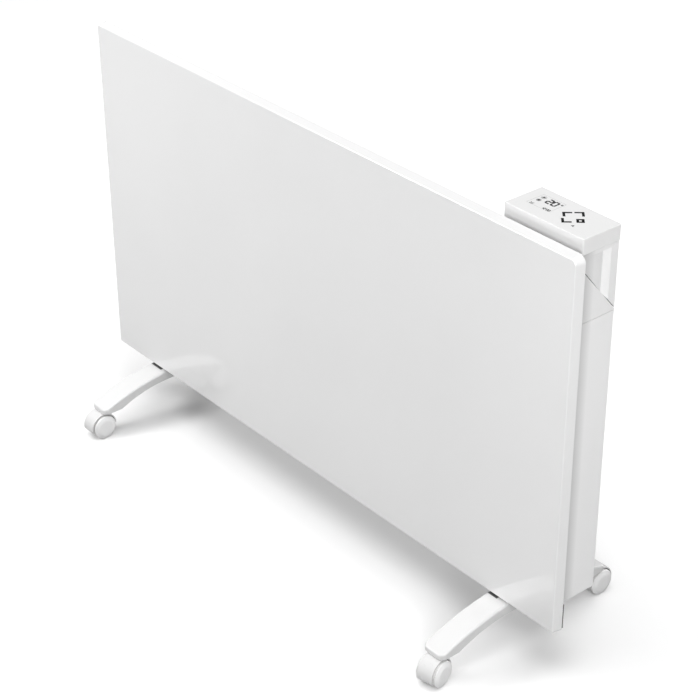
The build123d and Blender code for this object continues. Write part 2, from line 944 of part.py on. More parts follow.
def bracket_screws():
    """Four pan head screws through the back wall into the element brackets."""
    screws = []
    for x, z in bracket_screw_places():
        head = rod_y(screw_head_radius, casing_rear_y, casing_rear_y + screw_head_height, x, z)
        head = fillet(head.faces().sort_by(Axis.Y)[-1].edges(), screw_head_edge)
        tip = casing_inside_y - screw_reach
        shank = rod_y(screw_radius, tip, casing_rear_y + screw_head_height / 2, x, z)
        screws.append(head + shank)
    return screws


def thermal_cutout():
    """Disc cut-out on a plate on the back wall, over the element."""
    z = element_z + cutout_lift
    back = casing_inside_y - bracket_sheet
    front = back - cutout_disc_depth
    half = cutout_plate / 2
    plate = block(cutout_x - half, cutout_x + half, back, casing_inside_y, z - half, z + half)
    disc = rod_y(cutout_disc_radius, front, casing_inside_y, cutout_x, z)
    cup = rod_y(cutout_cup_radius, front - cutout_cup_depth, back, cutout_x, z)
    tabs = []
    for side in (-1, 1):
        x = cutout_x + side * cutout_cup_radius / 2
        tip = front - cutout_cup_depth - cutout_tab_length
        low = z - cutout_tab_width / 2
        high = z + cutout_tab_width / 2
        tabs.append(block(x - board_thickness / 4, x + board_thickness / 4, tip, back, low, high))
    return plate + [disc, cup] + tabs


def tilt_switch():
    """Tip-over switch on the inside of the right wall."""
    x1 = casing_side - casing_sheet
    x0 = x1 - tilt_switch_depth
    half = tilt_switch_side / 2
    y = room_middle_y
    z = casing_above_floor + tilt_switch_lift + half
    case = block(x0, x1, y - half, y + half, z - half, z + half)
    rim = half - tilt_lid
    lid = block(x0 - tilt_lid, x0, y - rim, y + rim, z - rim, z + rim)
    pins = []
    for side in (-1, 1):
        pin_y = y + side * half / 2
        pins.append(rod_x(tilt_lid / 4, x0 - tilt_lid - tilt_pin, x0, pin_y, z))
    return case + [lid] + pins


def room_sensor():
    """Room temperature sensor bead in a clip on the floor of the casing."""
    x = casing_side - sensor_inset
    half = sensor_clip / 2
    clip = block(
        x - half, x + half, room_middle_y - half, room_middle_y + half, casing_floor, casing_floor + half
    )
    return clip + rod_z(sensor_radius, casing_floor, casing_floor + sensor_length, x, room_middle_y)


def cable_gland():
    """Empty cable inlet in the back wall: flange, snout, thread and nut."""
    outer_y = casing_rear_y + gland_flange_thickness
    flange = rod_y(gland_flange, casing_rear_y, outer_y, gland_x, gland_z)
    flange = fillet(flange.faces().sort_by(Axis.Y)[-1].edges(), gland_edge_radius)
    snout = Cone(gland_radius - gland_lip, gland_bore + gland_lip, gland_reach, rotation=(-90, 0, 0))
    snout = Pos(gland_x, outer_y + gland_reach / 2, gland_z) * snout
    inner_y = casing_inside_y - gland_thread
    thread = rod_y(gland_radius - slide_clearance, inner_y, outer_y - gland_edge_radius, gland_x, gland_z)
    plane = Plane(origin=(gland_x, casing_inside_y, gland_z), x_dir=(1, 0, 0), z_dir=(0, -1, 0))
    nut = extrude(plane * RegularPolygon(gland_flange, 6), amount=gland_nut)
    bore = rod_y(gland_bore, inner_y - cut_over, outer_y + gland_reach + cut_over, gland_x, gland_z)
    return flange + [snout, thread, nut] - bore


def wire_harness():
    """Sleeved wires from the power board down to the element's right end."""
    step = (casing_top - element_z) / 5
    y = room_middle_y
    points = [
        (harness_x, harness_y, switch_z),
        (harness_x, harness_y, casing_top + tongue_height),
        (harness_x + harness_slack, harness_y, casing_top - step),
        (harness_x, y, casing_top - 2 * step),
        (harness_x - harness_slack, y, casing_top - 3 * step),
        (harness_x, y, casing_top - 4 * step),
        (harness_x - harness_slack, y, element_z),
        (bracket_x + bush_length, y, element_z),
    ]
    bends = [arc_radius(points, n) for n in range(1, len(points) - 1)]
    path = FilletPolyline(*points, radius=bends)
    start = Plane(origin=points[0], z_dir=Vector(*points[1]) - Vector(*points[0]))
    return sweep(start * Circle(harness_radius), path=path)


def arc_radius(points, n):
    """Bend radius at a corner, as large as its two runs allow."""
    before = Vector(*points[n]) - Vector(*points[n - 1])
    after = Vector(*points[n + 1]) - Vector(*points[n])
    turn = radians(before.get_angle(after))
    return 0.45 * min(before.length, after.length) / (sin(turn / 2) / cos(turn / 2))


def arc_drop(y, start, end, total):
    """Drop at y of an arc that leaves level at start and has dropped by total at end."""
    radius = ((end - start) ** 2 + total**2) / (2 * total)
    return radius - sqrt(radius**2 - (y - start) ** 2)


def foot_arc(side, start, end, level, total):
    """One arched edge of a foot's side outline, falling away from the middle."""
    half = (start + end) / 2
    return ThreePointArc(
        (side * start, level),
        (side * half, level - arc_drop(half, start, end, total)),
        (side * end, level - total),
    )


def foot_outline():
    """Side outline of a foot's arm: level at its crest, arched down to level tips."""
    tip_z = foot_end_z + foot_tip_height
    under = foot_top - foot_thickness
    flat_start = foot_tip_y - foot_end_flat
    edges = [
        Line((-foot_crest_half, foot_top), (foot_crest_half, foot_top)),
        Line((-foot_flat_half, under), (foot_flat_half, under)),
    ]
    for side in (-1, 1):
        edges.append(foot_arc(side, foot_crest_half, foot_tip_y, foot_top, foot_top - tip_z))
        edges.append(Line((side * foot_tip_y, tip_z), (side * foot_tip_y, foot_end_z)))
        edges.append(Line((side * foot_tip_y, foot_end_z), (side * flat_start, foot_end_z)))
        edges.append(foot_arc(side, foot_flat_half, flat_start, under, under - foot_end_z))
    return make_face(edges)


def foot_hollow_outline():
    """Side outline of the hollow under a foot's arm, open below."""
    level = foot_top - foot_wall
    tip = foot_tip_y - foot_wall
    total = arc_drop(tip, foot_crest_half, foot_tip_y, foot_top - foot_end_z - foot_tip_height)
    edges = [
        Line((-foot_crest_half, level), (foot_crest_half, level)),
        Line((-tip, 0), (tip, 0)),
    ]
    for side in (-1, 1):
        edges.append(foot_arc(side, foot_crest_half, tip, level, total))
        edges.append(Line((side * tip, level - total), (side * tip, 0)))
    return make_face(edges)


def foot_prism(outline, inset):
    """An outline drawn across a foot and cut to its plan with rounded ends."""
    half = foot_width / 2 - inset
    bulk = extrude(Plane.YZ.offset(-half) * outline, amount=2 * half)
    plan = RectangleRounded(2 * half, 2 * (foot_tip_y - inset), foot_end_radius - inset)
    return bulk & extrude(plan, amount=foot_top + cut_over)


def on_foot_top(edge):
    """Whether an edge runs round a foot's upper side, and isn't a seam across it."""
    middle = edge.center()
    seam = abs(middle.X) < 1 and abs(middle.Y) < foot_crest_half + 1
    return not seam


def foot(x):
    """Moulded foot: hollow arched arm, ribs, stem sockets and an upright for the casing."""
    bulk = foot_prism(foot_outline(), 0.0)
    tops = bulk.faces().filter_by(lambda face: face.normal_at().Z > 0.3)
    arm = fillet(tops.edges().filter_by(on_foot_top), foot_edge_radius)
    half = foot_width / 2 - foot_wall
    front = casing_middle_y - pedestal_depth / 2
    rear = casing_middle_y + pedestal_depth / 2
    upright = block(-half, half, front, rear, foot_top - foot_thickness, casing_above_floor)
    upright = fillet(upright.edges().filter_by(Axis.Z), foot_edge_radius)
    room = block(
        -half + foot_wall, half - foot_wall, front + foot_wall, rear - foot_wall, 0, foot_screw_floor
    )
    shell = arm + upright - [foot_prism(foot_hollow_outline(), foot_wall), room]
    extras = []
    for y in (-1, 1):
        extras.append(rod_z(socket_radius, foot_end_z, foot_top, 0, y * caster_y))
        for reach in foot_rib_places:
            middle = y * reach
            extras.append(block(-half, half, middle - foot_rib / 2, middle + foot_rib / 2, 0, foot_top))
        spine = sorted((y * foot_spine_start, y * caster_y))
        extras.append(block(-foot_rib / 2, foot_rib / 2, spine[0], spine[1], 0, foot_top))
    inside = bulk & (extras[0] + extras[1:])
    shell = shell + inside
    bores = []
    for y in (-1, 1):
        bores.append(rod_z(stem_radius, foot_end_z - cut_over, foot_end_z + stem_grip, 0, y * caster_y))
    hole = foot_screw_radius + screw_clearance
    for side in (-1, 1):
        y = casing_middle_y + side * foot_screw_spread / 2
        bores.append(rod_z(hole, foot_screw_floor - cut_over, casing_above_floor + cut_over, 0, y))
    return Pos(x, 0, 0) * (shell - bores)


def foot_screws():
    """Four screws up through the feet into the casing's floor."""
    screws = []
    for x, y in foot_screw_places():
        head = rod_z(foot_screw_head, foot_screw_floor - foot_screw_head_height, foot_screw_floor, x, y)
        tip = casing_floor + foot_screw_reach
        shank = rod_z(foot_screw_radius, foot_screw_floor - foot_screw_head_height / 2, tip, x, y)
        screws.append(head + shank)
    return screws


def caster_hood():
    """Hood over the wheels with a web for the axle and a boss for the stem."""
    y = -caster_trail
    body = rod_x(hood_outer, -hood_half_width, hood_half_width, y, axle_z)
    rims = body.edges().filter_by(GeomType.CIRCLE)
    body = fillet(rims, hood_edge_radius)
    body = body + rod_z(stem_boss_radius, axle_z + stem_boss_lift, axle_z + hood_outer, 0, 0)
    rooms = []
    for side in (-1, 1):
        start = side * web_half_width
        end = side * (hood_half_width + cut_over)
        rooms.append(rod_x(hood_inner, min(start, end), max(start, end), y, axle_z))
    front = y - 2 * hood_outer
    rear = y + 2 * hood_outer
    below = [
        (front, axle_z - hood_front_drop),
        (y, axle_z - (hood_front_drop - hood_back_rise) / 2),
        (rear, axle_z + hood_back_rise),
        (rear, -hood_outer),
        (front, -hood_outer),
    ]
    rooms.append(side_profile(below, -2 * hood_half_width, 2 * hood_half_width))
    hood = body - rooms
    hood = hood + rod_x(hub_radius, -web_half_width, web_half_width, y, axle_z)
    stem_hole = rod_z(
        stem_radius + running_clearance, collar_bottom - stem_depth, collar_bottom + cut_over, 0, 0
    )
    axle_hole = rod_x(axle_radius, -2 * hood_half_width, 2 * hood_half_width, y, axle_z)
    return hood - [stem_hole, axle_hole]


def caster_stem():
    """Stem with a collar, fixed in the foot."""
    bottom = collar_bottom - stem_depth + stem_end_gap
    shank = rod_z(stem_radius, bottom, foot_end_z + stem_grip - stem_end_gap, 0, 0)
    collar = rod_z(stem_collar_radius, collar_bottom, foot_end_z, 0, 0)
    return shank + collar


def caster_axle():
    """Steel axle through the web, blind in both wheels."""
    reach = wheel_inner_x + wheel_bore_depth - seam_gap
    return rod_x(axle_radius, -reach, reach, -caster_trail, axle_z)


def caster_wheel(side):
    """Plastic wheel with a raised flat in its outer face, a rounded tread and a hollow back."""
    bore = axle_radius + running_clearance
    hub = wheel_hub_radius
    rim_inner = wheel_radius - wheel_rim
    inside = wheel_inner_x
    recess = wheel_inner_x + wheel_recess
    edge = wheel_edge_radius
    lean = edge * (1 - sqrt(0.5))
    dome_edge = wheel_radius - edge
    flat_x = wheel_rim_x + wheel_dome
    shoulder = (dome_edge + wheel_flat_radius) / 2
    bow = arc_drop(shoulder, wheel_flat_radius, dome_edge, wheel_dome)
    path = [
        Line((inside, bore), (inside, hub)),
        Line((inside, hub), (recess, hub)),
        Line((recess, hub), (recess, rim_inner)),
        Line((recess, rim_inner), (inside, rim_inner)),
        Line((inside, rim_inner), (inside, wheel_radius)),
        Line((inside, wheel_radius), (wheel_rim_x - edge, wheel_radius)),
        ThreePointArc(
            (wheel_rim_x - edge, wheel_radius),
            (wheel_rim_x - lean, wheel_radius - lean),
            (wheel_rim_x, dome_edge),
        ),
        ThreePointArc((wheel_rim_x, dome_edge), (flat_x - bow, shoulder), (flat_x, wheel_flat_radius)),
        Line((flat_x, wheel_flat_radius), (flat_x, 0)),
        Line((flat_x, 0), (inside + wheel_bore_depth, 0)),
        Line((inside + wheel_bore_depth, 0), (inside + wheel_bore_depth, bore)),
        Line((inside + wheel_bore_depth, bore), (inside, bore)),
    ]
    wheel = revolve(make_face(path), Axis.X)
    if side < 0:
        wheel = mirror(wheel, Plane.YZ)
    return Pos(0, -caster_trail, axle_z) * wheel


def casters():
    """The four casters: name, place of the stem and turn about it."""
    return [
        ("front_left", Pos(-foot_x, -caster_y, 0)),
        ("front_right", Pos(foot_x, -caster_y, 0) * Rot(0, 0, front_right_swivel)),
        ("rear_left", Pos(-foot_x, caster_y, 0) * Rot(0, 0, 180 + rear_left_swivel)),
        ("rear_right", Pos(foot_x, caster_y, 0) * Rot(0, 0, 180)),
    ]


def write(name, pieces):
    """Write one named piece, or a group of like pieces, to its STEP file."""
    if isinstance(pieces, list):
        pieces = Compound(children=pieces)
    pieces.label = name
    export_step(pieces, f"parts/{name}.step")


def main():
    """Build every piece and write it."""
    os.makedirs("parts", exist_ok=True)
    write("front_panel", front_panel())
    write("rim_guards", rim_guards())
    write("panel_brackets", panel_brackets())
    write("front_shield", front_shield())
    write("rear_casing", rear_casing())
    write("outlet_cheek_left", outlet_cheek_left())
    write("control_base", control_base())
    write("outlet_louvre", outlet_louvre())
    write("control_neck", control_neck())
    write("control_cap", control_cap())
    write("control_board", control_board())
    write("display_module", display_module())
    write("touch_pads", touch_pads())
    write("power_board", power_board())
    write("switch_housing", switch_housing())
    write("switch_rocker", switch_rocker())
    write("heating_element", heating_element())
    write("element_bushes", element_bushes())
    write("element_bracket_left", mirror(element_bracket(), Plane.YZ))
    write("element_bracket_right", element_bracket())
    write("bracket_screws", bracket_screws())
    write("thermal_cutout", thermal_cutout())
    write("tilt_switch", tilt_switch())
    write("room_sensor", room_sensor())
    write("cable_gland", cable_gland())
    write("wire_harness", wire_harness())
    write("foot_left", foot(-foot_x))
    write("foot_right", foot(foot_x))
    write("foot_screws", foot_screws())
    for name, place in casters():
        write(f"caster_hood_{name}", place * caster_hood())
        write(f"caster_stem_{name}", place * caster_stem())
        write(f"caster_axle_{name}", place * caster_axle())
        write(f"wheel_left_{name}", place * caster_wheel(-1))
        write(f"wheel_right_{name}", place * caster_wheel(1))


main()
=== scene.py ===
import json
import math

import bmesh
import bpy
from mathutils import Matrix, Vector

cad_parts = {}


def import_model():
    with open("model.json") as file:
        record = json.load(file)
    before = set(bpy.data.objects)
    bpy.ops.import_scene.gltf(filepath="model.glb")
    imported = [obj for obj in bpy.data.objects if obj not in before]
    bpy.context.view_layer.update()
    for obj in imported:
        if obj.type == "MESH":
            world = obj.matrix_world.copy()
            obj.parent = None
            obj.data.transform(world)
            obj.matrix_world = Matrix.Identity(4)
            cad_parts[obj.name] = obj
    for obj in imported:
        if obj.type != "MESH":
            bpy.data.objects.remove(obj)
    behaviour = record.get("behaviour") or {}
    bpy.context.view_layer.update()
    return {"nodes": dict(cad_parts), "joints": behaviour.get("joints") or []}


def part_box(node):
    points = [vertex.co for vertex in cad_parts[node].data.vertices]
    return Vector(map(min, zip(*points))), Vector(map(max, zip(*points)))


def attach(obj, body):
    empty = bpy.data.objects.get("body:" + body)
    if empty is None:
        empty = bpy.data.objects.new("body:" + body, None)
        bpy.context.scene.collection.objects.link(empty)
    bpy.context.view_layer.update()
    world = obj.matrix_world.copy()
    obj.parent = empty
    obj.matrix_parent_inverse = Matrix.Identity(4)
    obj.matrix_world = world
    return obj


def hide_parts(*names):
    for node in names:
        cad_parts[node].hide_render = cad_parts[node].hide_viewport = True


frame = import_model()

MM = 0.001
BODY = "heater"
CASTERS = ("front_left", "front_right", "rear_left", "rear_right")


def added(name, data):
    """A new object in the scene that holds the data."""
    made = bpy.data.objects.new(name, data)
    bpy.context.scene.collection.objects.link(made)
    return made


def joint(name):
    """A joint of the frame, by its name."""
    return next(j for j in frame["joints"] if j["name"] == name)


# Node materials. Every pattern reads object coordinates, which are metres at rest.

# Most of a noise's values lie in this span
NOISE_SPAN = (0.3, 0.7)
# The usual height of a grain
GRAIN_DEPTH = 0.1 * MM

# Shade on the end walls, towards the gap behind the panel's rim, in mm
END_WALL_X = 399.0
SHADE_FRONT, SHADE_REAR = -7.0, 8.0
SHADE_DEPTH = 0.32

# Painted shadow on the tops of the feet, where each passes under the panel's lower edge, in mm
LEFT_FOOT_SHADOW_X = (-345.0, -318.0)
RIGHT_FOOT_SHADOW_X = (310.0, 324.5)
FOOT_SHADOW_Y = (-31.8, -27.0)
FOOT_SHADOW_FROM_Z = 64.0
FOOT_SHADOW_END_EDGE, FOOT_SHADOW_SIDE_EDGE = 0.5, 0.4
FOOT_SHADOW_DEPTH = 0.88

# Wheel radii between which the tread's scuffs come in, in mm
TREAD_FROM, TREAD_FULL = 15.4, 15.9


class Nodes:
    """A material's node tree, with short ways to add to it."""

    def __init__(self, name):
        self.material = bpy.data.materials.new(name)
        self.material.use_nodes = True
        self.tree = self.material.node_tree
        self.tree.nodes.clear()
        self.shader = self.add("ShaderNodeBsdfPrincipled")
        out = self.add("ShaderNodeOutputMaterial")
        self.link(self.shader.outputs["BSDF"], out.inputs["Surface"])
        self.place = self.add("ShaderNodeTexCoord").outputs["Object"]

    def add(self, kind, **settings):
        node = self.tree.nodes.new(kind)
        for key, value in settings.items():
            setattr(node, key, value)
        return node

    def link(self, source, target):
        self.tree.links.new(source, target)

    def stretched(self, scale):
        """The place, with each axis scaled."""
        node = self.add("ShaderNodeVectorMath", operation="MULTIPLY")
        self.link(self.place, node.inputs[0])
        node.inputs[1].default_value = scale
        return node.outputs["Vector"]

    def noise(self, scale, detail=2.0, place=None):
        node = self.add("ShaderNodeTexNoise")
        node.inputs["Scale"].default_value = scale
        node.inputs["Detail"].default_value = detail
        self.link(place or self.place, node.inputs["Vector"])
        return node.outputs["Fac"]

    def voronoi(self, scale):
        node = self.add("ShaderNodeTexVoronoi")
        node.inputs["Scale"].default_value = scale
        self.link(self.place, node.inputs["Vector"])
        return node.outputs["Distance"]

    def math(self, operation, a, b):
        """The result of a sum on two numbers or sockets."""
        node = self.add("ShaderNodeMath", operation=operation)
        for socket, value in zip(node.inputs, (a, b)):
            if isinstance(value, (int, float)):
                socket.default_value = value
            else:
                self.link(value, socket)
        return node.outputs["Value"]

    def ramp(self, value, low, high, low_at=0.0, high_at=1.0):
        """A value mapped from one span to another."""
        node = self.add("ShaderNodeMapRange")
        self.link(value, node.inputs["Value"])
        for key, number in (
            ("From Min", low_at),
            ("From Max", high_at),
            ("To Min", low),
            ("To Max", high),
        ):
            node.inputs[key].default_value = number
        return node.outputs["Result"]

    def colours(self, value, first, second, low_at=0.0, high_at=1.0):
        """A blend of two colours by a value."""
        node = self.add("ShaderNodeValToRGB")
        self.link(value, node.inputs["Fac"])
        ends = node.color_ramp.elements
        ends[0].position, ends[1].position = low_at, high_at
        ends[0].color = (*first, 1.0)
        ends[1].color = (*second, 1.0)
        self.link(node.outputs["Color"], self.shader.inputs["Base Color"])

    def shade(self, factor):
        """The base colour, times a factor."""
        node = self.add("ShaderNodeHueSaturation")
        colour = self.shader.inputs["Base Color"]
        self.link(colour.links[0].from_socket, node.inputs["Color"])
        self.link(factor, node.inputs["Value"])
        self.link(node.outputs["Color"], colour)

    def length(self, vector):
        node = self.add("ShaderNodeVectorMath", operation="LENGTH")
        self.link(vector, node.inputs[0])
        return node.outputs["Value"]

    def within(self, value, span, edge):
        """One inside a span of a value in mm, falling to nothing over an edge."""
        low, high = (limit * MM for limit in span)
        rise = self.ramp(value, 0.0, 1.0, low - edge * MM, low)
        fall = self.ramp(value, 1.0, 0.0, high, high + edge * MM)
        return self.math("MULTIPLY", rise, fall)

    def axes(self):
        """The place's X, Y and Z."""
        node = self.add("ShaderNodeSeparateXYZ")
        self.link(self.place, node.inputs["Vector"])
        return node.outputs

    def gap_shade(self):
        """A soft darkening of the end walls towards the gap behind the panel's rim."""
        x, y, _ = self.axes()
        across = self.math("ABSOLUTE", x, 0.0)
        wall = self.ramp(across, 0.0, 1.0, END_WALL_X * MM, (END_WALL_X + 1.0) * MM)
        near = self.ramp(y, SHADE_DEPTH, 0.0, SHADE_FRONT * MM, SHADE_REAR * MM)
        self.shade(self.math("SUBTRACT", 1.0, self.math("MULTIPLY", wall, near)))

    def bump(self, height, strength, distance=GRAIN_DEPTH, under=None):
        """Relief from a height, on top of any relief under it."""
        node = self.add("ShaderNodeBump")
        node.inputs["Strength"].default_value = strength
        node.inputs["Distance"].default_value = distance
        self.link(height, node.inputs["Height"])
        if under is not None:
            self.link(under, node.inputs["Normal"])
        self.link(node.outputs["Normal"], self.shader.inputs["Normal"])
        return node.outputs["Normal"]

    def rough(self, value, low, high):
        """Roughness that follows a noise between two limits."""
        result = self.ramp(value, low, high, *NOISE_SPAN)
        self.link(result, self.shader.inputs["Roughness"])

    def set(self, **values):
        """Constants on the shader's own sockets."""
        for key, value in values.items():
            self.shader.inputs[key.replace("_", " ")].default_value = value


def grey(level, warm=0.0):
    """A grey, or a slightly warm one."""
    return (level, level * (1 - warm / 2), level * (1 - warm))


def enamel():
    """Glossy stoved enamel: a clear coat over faint orange peel."""
    n = Nodes("panel_enamel")
    n.set(Coat_Weight=1.0, Coat_Roughness=0.04, Coat_IOR=1.8, IOR=1.45)
    n.colours(n.noise(6.0, 1.0), grey(0.86), grey(0.88), *NOISE_SPAN)
    n.rough(n.noise(40.0, 3.0), 0.28, 0.36)
    n.bump(n.noise(420.0, 1.0), 0.05, 0.2 * MM)
    return n.material


def powder_coat():
    """Satin powder coat with its fine leathery texture."""
    n = Nodes("casing_enamel")
    n.set(IOR=1.45)
    n.colours(n.noise(9.0, 2.0), grey(0.91), grey(0.93), *NOISE_SPAN)
    n.gap_shade()
    n.rough(n.noise(160.0, 3.0), 0.38, 0.50)
    fine = n.bump(n.voronoi(1500.0), 0.10, 0.15 * MM)
    n.bump(n.noise(900.0, 3.0), 0.16, 0.2 * MM, fine)
    return n.material


def moulded(name, level, roughness, grain, coat=0.0, detail=None):
    """White moulded plastic, with slight flow clouds and a sparked grain.

    The roughness is a span, and the grain is its scale and its strength.
    """
    n = Nodes(name)
    n.set(IOR=1.47, Coat_Weight=coat, Coat_Roughness=0.12)
    low_tone, high_tone = grey(level - 0.012, 0.004), grey(level + 0.012)
    n.colours(n.noise(14.0, 3.0), low_tone, high_tone, *NOISE_SPAN)
    # A detail, when given, paints shade into the base colour: the gap shade on the end walls or
    # the shadow on the feet
    if detail:
        detail(n)
    n.rough(n.noise(120.0, 3.0), *roughness)
    scale, strength = grain
    n.bump(n.noise(scale, 4.0), strength)
    return n.material


def painted_foot_shadow(n):
    """Painted shadow on the top of each foot, in the gap where it passes under the panel's
    lower edge.
    """
    x, y, z = n.axes()
    left = n.within(x, LEFT_FOOT_SHADOW_X, FOOT_SHADOW_END_EDGE)
    right = n.within(x, RIGHT_FOOT_SHADOW_X, FOOT_SHADOW_END_EDGE)
    along = n.within(y, FOOT_SHADOW_Y, FOOT_SHADOW_SIDE_EDGE)
    above = n.ramp(z, 0.0, 1.0, FOOT_SHADOW_FROM_Z * MM, (FOOT_SHADOW_FROM_Z + FOOT_SHADOW_SIDE_EDGE) * MM)
    # The painted shadow: the base colour is darkened where the foot passes under the panel's
    # lower edge
    slot = n.math("MULTIPLY", n.math("MAXIMUM", left, right), n.math("MULTIPLY", along, above))
    n.shade(n.math("SUBTRACT", 1.0, n.math("MULTIPLY", slot, FOOT_SHADOW_DEPTH)))


def wheel_plastic(corner):
    """Satin wheel plastic, greyed and scuffed where the tread meets the floor."""
    n = Nodes(f"wheel_plastic_{corner}")
    n.set(IOR=1.47)
    low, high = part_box(f"caster_axle_{corner}")
    axis = joint(f"spin_left_{corner}")["axis"]
    offset = n.add("ShaderNodeVectorMath", operation="SUBTRACT")
    n.link(n.place, offset.inputs[0])
    offset.inputs[1].default_value = tuple((low + high) / 2)
    cross = n.add("ShaderNodeVectorMath", operation="CROSS_PRODUCT")
    n.link(offset.outputs["Vector"], cross.inputs[0])
    cross.inputs[1].default_value = Vector(axis).normalized()
    radius = n.length(cross.outputs["Vector"])
    tread = n.ramp(radius, 0.0, 1.0, TREAD_FROM * MM, TREAD_FULL * MM)
    scuffs = n.ramp(n.noise(600.0, 4.0), 0.1, 0.9, 0.35, 0.65)
    worn = n.math("MULTIPLY", tread, scuffs)
    n.colours(worn, grey(0.90), grey(0.70, 0.03))
    n.link(n.ramp(worn, 0.33, 0.62), n.shader.inputs["Roughness"])
    n.bump(n.noise(1400.0, 3.0), 0.10)
    return n.material


def rubber(name, level):
    """Matt rubber, slightly mottled."""
    n = Nodes(name)
    n.set(IOR=1.5)
    n.colours(n.noise(300.0, 3.0), grey(level * 0.85), grey(level * 1.15), *NOISE_SPAN)
    n.rough(n.noise(200.0, 2.0), 0.55, 0.72)
    n.bump(n.noise(1800.0, 3.0), 0.2)
    return n.material


def zinc(name, level, roughness):
    """Zinc plated steel with its cloudy, drawn finish."""
    n = Nodes(name)
    n.set(Metallic=1.0)
    drawn = n.noise(400.0, 3.0, n.stretched((0.15, 1.0, 1.0)))
    light = (level, level * 1.01, level * 1.03)
    n.colours(n.noise(60.0, 3.0), grey(level * 0.92), light, *NOISE_SPAN)
    n.rough(drawn, roughness - 0.06, roughness + 0.08)
    n.bump(drawn, 0.08)
    return n.material


def aluminium():
    """Bare extruded aluminium with drawn lines along X."""
    n = Nodes("element_aluminium")
    n.set(Metallic=1.0)
    lines = n.noise(900.0, 3.0, n.stretched((0.02, 1.0, 1.0)))
    n.colours(n.noise(30.0, 2.0), (0.70, 0.71, 0.72), (0.78, 0.79, 0.80), *NOISE_SPAN)
    n.rough(lines, 0.30, 0.46)
    n.bump(lines, 0.15)
    return n.material


def circuit():
    """Green board laminate with faint tracks."""
    n = Nodes("circuit_board")
    n.set(IOR=1.5, Coat_Weight=0.5, Coat_Roughness=0.2)
    wave = n.add("ShaderNodeTexWave", wave_type="BANDS", bands_direction="DIAGONAL")
    wave.inputs["Scale"].default_value = 150.0
    wave.inputs["Distortion"].default_value = 3.0
    n.link(n.place, wave.inputs["Vector"])
    n.colours(wave.outputs["Fac"], (0.03, 0.15, 0.07), (0.06, 0.26, 0.12), 0.45, 0.55)
    n.rough(n.noise(90.0, 2.0), 0.35, 0.5)
    return n.material


def braid():
    """Woven glass sleeve: two crossing sets of strands."""
    n = Nodes("harness_sleeve")
    n.set(IOR=1.5, Sheen_Weight=0.2)
    heights = []
    for turn in (1.0, -1.0):
        wave = n.add("ShaderNodeTexWave", wave_type="BANDS", bands_direction="DIAGONAL")
        wave.inputs["Scale"].default_value = 220.0
        n.link(n.stretched((turn, 1.0, 1.0)), wave.inputs["Vector"])
        heights.append(wave.outputs["Fac"])
    weave = n.math("MULTIPLY", heights[0], heights[1])
    n.colours(weave, (0.46, 0.43, 0.36), (0.66, 0.63, 0.56))
    n.rough(weave, 0.7, 0.85)
    n.bump(weave, 0.5, 0.3 * MM)
    return n.material


def speckled(name, first, second, roughness, scale=500.0):
    """A plain fired or moulded body with fine speckles."""
    n = Nodes(name)
    n.set(IOR=1.5)
    n.colours(n.noise(scale, 3.0), first, second, 0.35, 0.65)
    n.rough(n.noise(100.0, 2.0), roughness - 0.06, roughness + 0.06)
    n.bump(n.noise(1200.0, 3.0), 0.12)
    return n.material


def ink(name, level):
    """Matt printed ink, slightly uneven at its own fine scale."""
    n = Nodes(name)
    n.set(IOR=1.5, Specular_IOR_Level=0.08)
    n.colours(n.noise(2500.0, 2.0), grey(level * 0.9), grey(level * 1.1), *NOISE_SPAN)
    n.rough(n.noise(900.0, 2.0), 0.55, 0.65)
    return n.material


white_plastic = moulded(
    "white_plastic", 0.88, (0.40, 0.50), (1300.0, 0.14), detail=Nodes.gap_shade
)
cap_plastic = moulded("cap_plastic", 0.87, (0.30, 0.38), (700.0, 0.02), coat=0.4)
foot_plastic = moulded(
    "foot_plastic", 0.74, (0.28, 0.38), (1500.0, 0.07), coat=0.3, detail=painted_foot_shadow
)
hood_plastic = moulded("hood_plastic", 0.71, (0.26, 0.36), (1500.0, 0.06), coat=0.3)
casing_enamel = powder_coat()
board_green = circuit()
screw_zinc = zinc("screw_steel", 0.64, roughness=0.34)
bracket_zinc = zinc("zinc_steel", 0.60, roughness=0.42)
sensor_plastic = speckled("sensor_plastic", (0.76, 0.76, 0.71), (0.83, 0.83, 0.79), 0.5)
switch_black = speckled("switch_black", grey(0.022), grey(0.034), 0.42, 900.0)
ink_dark = ink("ink_dark", 0.012)
ink_grey = ink("ink_grey", 0.08)
ink_faint = ink("ink_faint", 0.55)

finishes = {
    "front_panel": enamel(),
    "rim_guards": rubber("guard_rubber", 0.05),
    "panel_brackets": bracket_zinc,
    "front_shield": casing_enamel,
    "rear_casing": casing_enamel,
    "outlet_cheek_left": white_plastic,
    "control_base": white_plastic,
    "outlet_louvre": white_plastic,
    "control_neck": white_plastic,
    "control_cap": cap_plastic,
    "control_board": board_green,
    "power_board": board_green,
    "display_module": speckled("display_glass", (0.68, 0.70, 0.70), (0.74, 0.76, 0.75), 0.3),
    "touch_pads": rubber("pad_rubber", 0.16),
    "switch_housing": switch_black,
    "switch_rocker": switch_black,
    "heating_element": aluminium(),
    "element_bushes": speckled("ceramic", (0.74, 0.71, 0.64), (0.84, 0.81, 0.75), 0.6),
    "element_bracket_left": bracket_zinc,
    "element_bracket_right": bracket_zinc,
    "bracket_screws": screw_zinc,
    "thermal_cutout": speckled("cutout_plastic", grey(0.05), grey(0.08), 0.45),
    "tilt_switch": sensor_plastic,
    "room_sensor": sensor_plastic,
    "cable_gland": speckled("gland_plastic", grey(0.78), grey(0.82), 0.45),
    "wire_harness": braid(),
    "foot_left": foot_plastic,
    "foot_right": foot_plastic,
    "foot_screws": screw_zinc,
}
